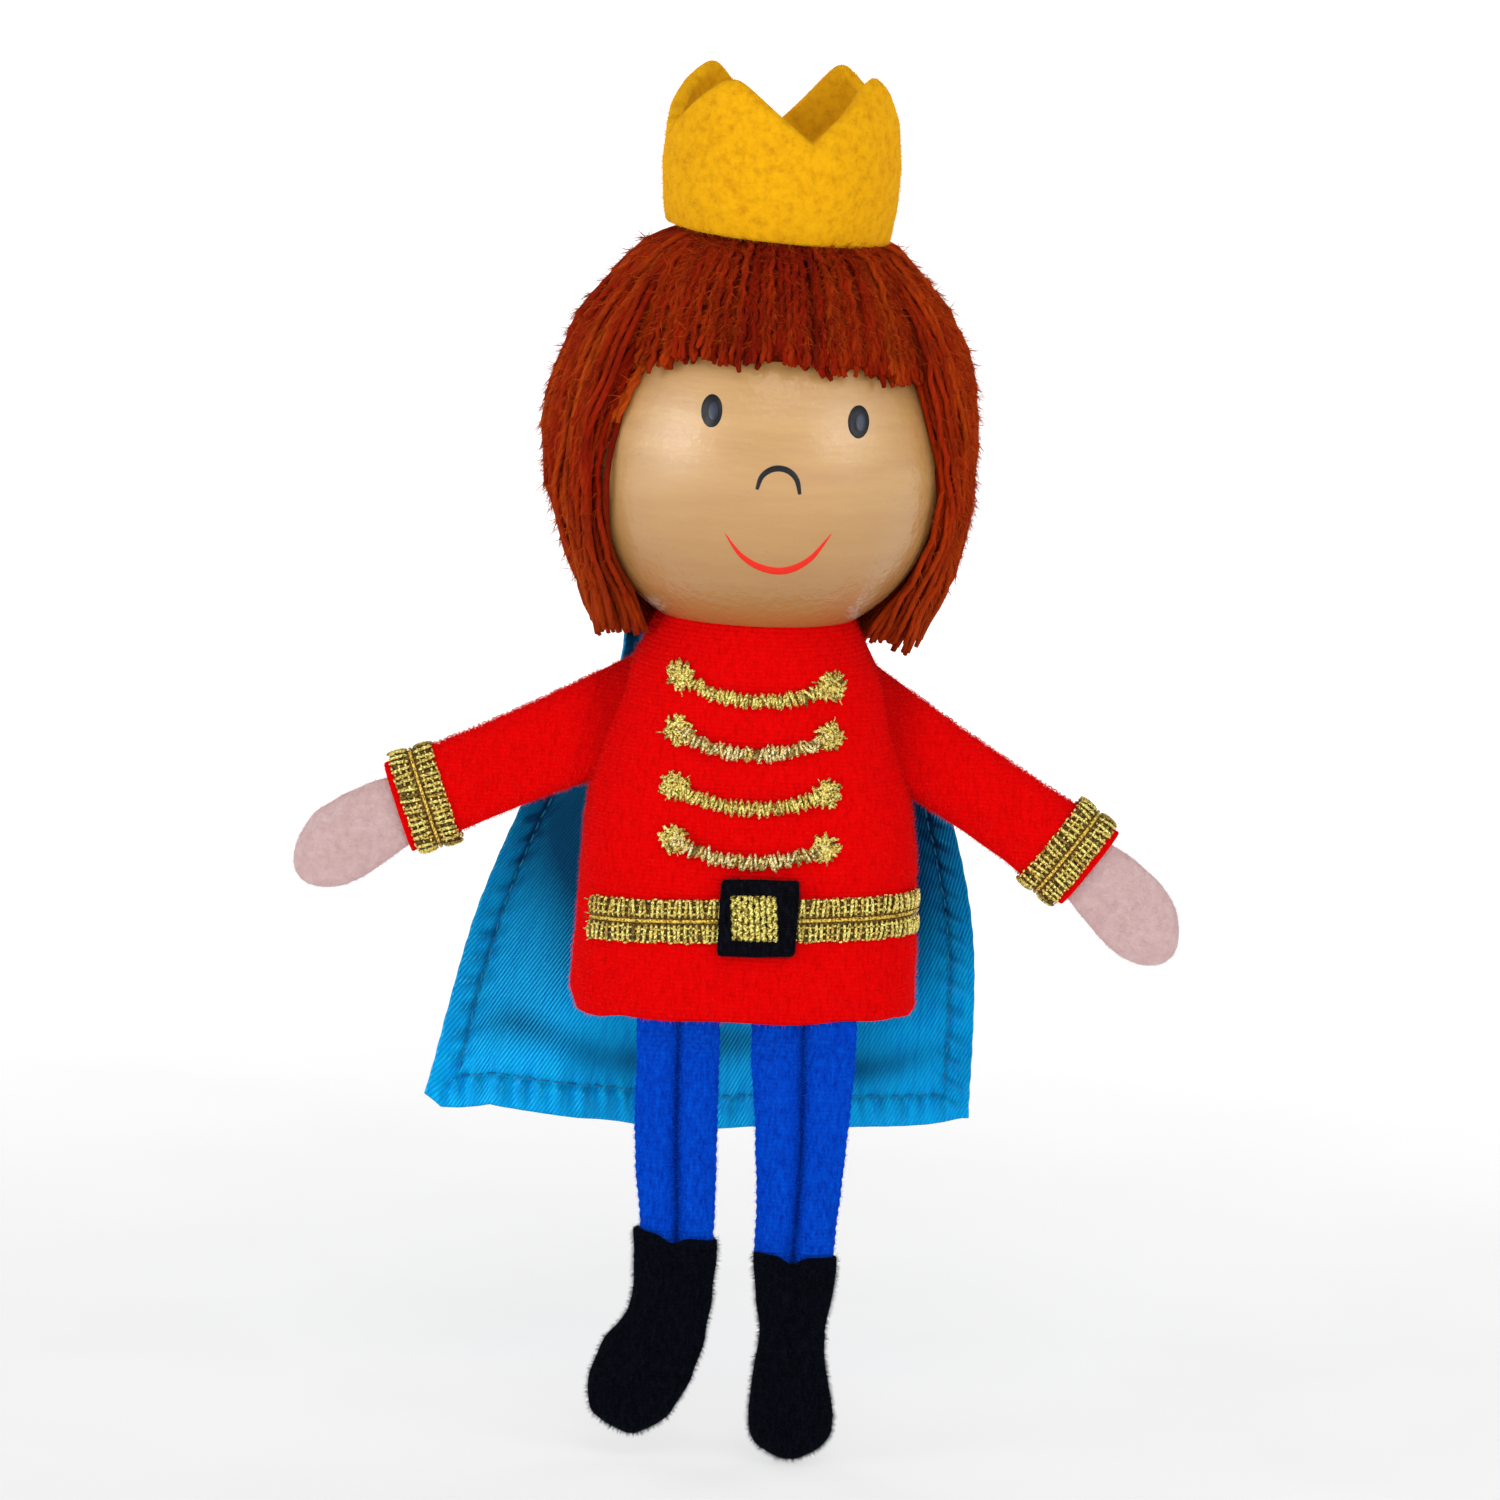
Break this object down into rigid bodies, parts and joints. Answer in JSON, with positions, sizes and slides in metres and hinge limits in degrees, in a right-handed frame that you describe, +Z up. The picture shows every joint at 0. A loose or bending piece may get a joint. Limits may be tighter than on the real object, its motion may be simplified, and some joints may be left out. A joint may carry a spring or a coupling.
{
  "type": "hand puppet",
  "caption": "Finger puppet of a prince: wooden ball head with yarn hair and felt crown on a velour tunic, with flapping arms, hanging legs in boots and a satin cape.",
  "frame": {"origin": "centre of the mouth of the finger bore in the wooden ball, on the bore's axis", "axes": "+Z up along the bore's axis to the crown; -Y is the way the face looks; +X is the puppet's own left"},
  "size_m": [0.095, 0.0454, 0.1475],
  "materials": {
    "wood": "clear varnish over pale close-grained wood",
    "hair_yarn": "fuzzy plied acrylic yarn",
    "yellow_felt": "thick pressed felt",
    "red_velour": "brushed velour with fine ribs",
    "gold_braid": "woven metallic thread",
    "black_trim": "black woven patch with a slight shine",
    "pink_felt": "soft pressed felt",
    "blue_velour": "brushed velour",
    "black_velour": "brushed velour",
    "blue_satin": "shiny twill-backed satin"
  },
  "bodies": {
    "torso": {"tunic_front": "red_velour", "tunic_back": "red_velour", "belt": "gold_braid", "buckle": "black_trim", "frog_1": "gold_braid", "frog_2": "gold_braid", "frog_3": "gold_braid", "frog_4": "gold_braid", "rosette_1_left": "gold_braid", "rosette_1_right": "gold_braid", "rosette_2_left": "gold_braid", "rosette_2_right": "gold_braid", "rosette_3_left": "gold_braid", "rosette_3_right": "gold_braid", "rosette_4_left": "gold_braid", "rosette_4_right": "gold_braid", "leg_tab_left": "blue_velour", "leg_tab_right": "blue_velour"},
    "neck": {"neck_hem": "red_velour"},
    "head": {"head_ball": "wood", "hair_fringe": "hair_yarn", "hair_left": "hair_yarn", "hair_right": "hair_yarn", "hair_back": "hair_yarn", "crown": "yellow_felt"},
    "cape": {"cape": "blue_satin"},
    "shoulder_left": {"shoulder_left": "red_velour"},
    "arm_left": {"sleeve_left": "red_velour", "cuff_left": "gold_braid"},
    "hand_left": {"hand_left": "pink_felt"},
    "leg_left": {"leg_left": "blue_velour"},
    "boot_left": {"boot_left": "black_velour"},
    "shoulder_right": {"shoulder_right": "red_velour"},
    "arm_right": {"sleeve_right": "red_velour", "cuff_right": "gold_braid"},
    "hand_right": {"hand_right": "pink_felt"},
    "leg_right": {"leg_right": "blue_velour"},
    "boot_right": {"boot_right": "black_velour"}
  },
  "joints": [
    {"name": "neck_nod", "type": "hinge", "parent": "torso", "child": "neck", "pos_m": [0, 0, -0.0025], "axis": [1, 0, 0], "range_deg": [-15, 20]},
    {"name": "neck_turn", "type": "hinge", "parent": "neck", "child": "head", "pos_m": [0, 0, 0], "axis": [0, 0, 1], "range_deg": [-30, 30]},
    {"name": "shoulder_fold_left", "type": "hinge", "parent": "torso", "child": "shoulder_left", "pos_m": [0.01712, 0, -0.01033], "axis": [0.2909, 0, -0.9568], "range_deg": [-15, 75], "stiffness_Nm_per_rad": 0.0005},
    {"name": "shoulder_raise_left", "type": "hinge", "parent": "shoulder_left", "child": "arm_left", "pos_m": [0.0239, 0, -0.0152], "axis": [0, -1, 0], "range_deg": [-12, 40], "stiffness_Nm_per_rad": 0.0015},
    {"name": "wrist_left", "type": "hinge", "parent": "arm_left", "child": "hand_left", "pos_m": [0.03705, 0, -0.02475], "axis": [-0.5878, 0, -0.809], "range_deg": [-50, 60], "stiffness_Nm_per_rad": 0.0001},
    {"name": "shoulder_fold_right", "type": "hinge", "parent": "torso", "child": "shoulder_right", "pos_m": [-0.01712, 0, -0.01033], "axis": [0.2909, 0, 0.9568], "range_deg": [-15, 75], "stiffness_Nm_per_rad": 0.0005},
    {"name": "shoulder_raise_right", "type": "hinge", "parent": "shoulder_right", "child": "arm_right", "pos_m": [-0.0239, 0, -0.0152], "axis": [0, 1, 0], "range_deg": [-12, 40], "stiffness_Nm_per_rad": 0.0015},
    {"name": "wrist_right", "type": "hinge", "parent": "arm_right", "child": "hand_right", "pos_m": [-0.0385, 0, -0.02232], "axis": [-0.4384, 0, 0.8988], "range_deg": [-50, 60], "stiffness_Nm_per_rad": 0.0001},
    {"name": "hip_left", "type": "hinge", "parent": "torso", "child": "leg_left", "pos_m": [0.0068, -0.0104, -0.0431], "axis": [-1, 0, 0], "range_deg": [-30, 80]},
    {"name": "ankle_left", "type": "hinge", "parent": "leg_left", "child": "boot_left", "pos_m": [0.0075, -0.0104, -0.0682], "axis": [-1, 0, 0], "range_deg": [-30, 45]},
    {"name": "hip_right", "type": "hinge", "parent": "torso", "child": "leg_right", "pos_m": [-0.0063, -0.0104, -0.0431], "axis": [-1, 0, 0], "range_deg": [-30, 80]},
    {"name": "ankle_right", "type": "hinge", "parent": "leg_right", "child": "boot_right", "pos_m": [-0.0052, -0.0104, -0.0682], "axis": [-1, 0, 0], "range_deg": [-30, 45]},
    {"name": "cape_lift", "type": "hinge", "parent": "torso", "child": "cape", "pos_m": [0, 0.0144, -0.0057], "axis": [1, 0, 0], "range_deg": [0, 75]}
  ]
}
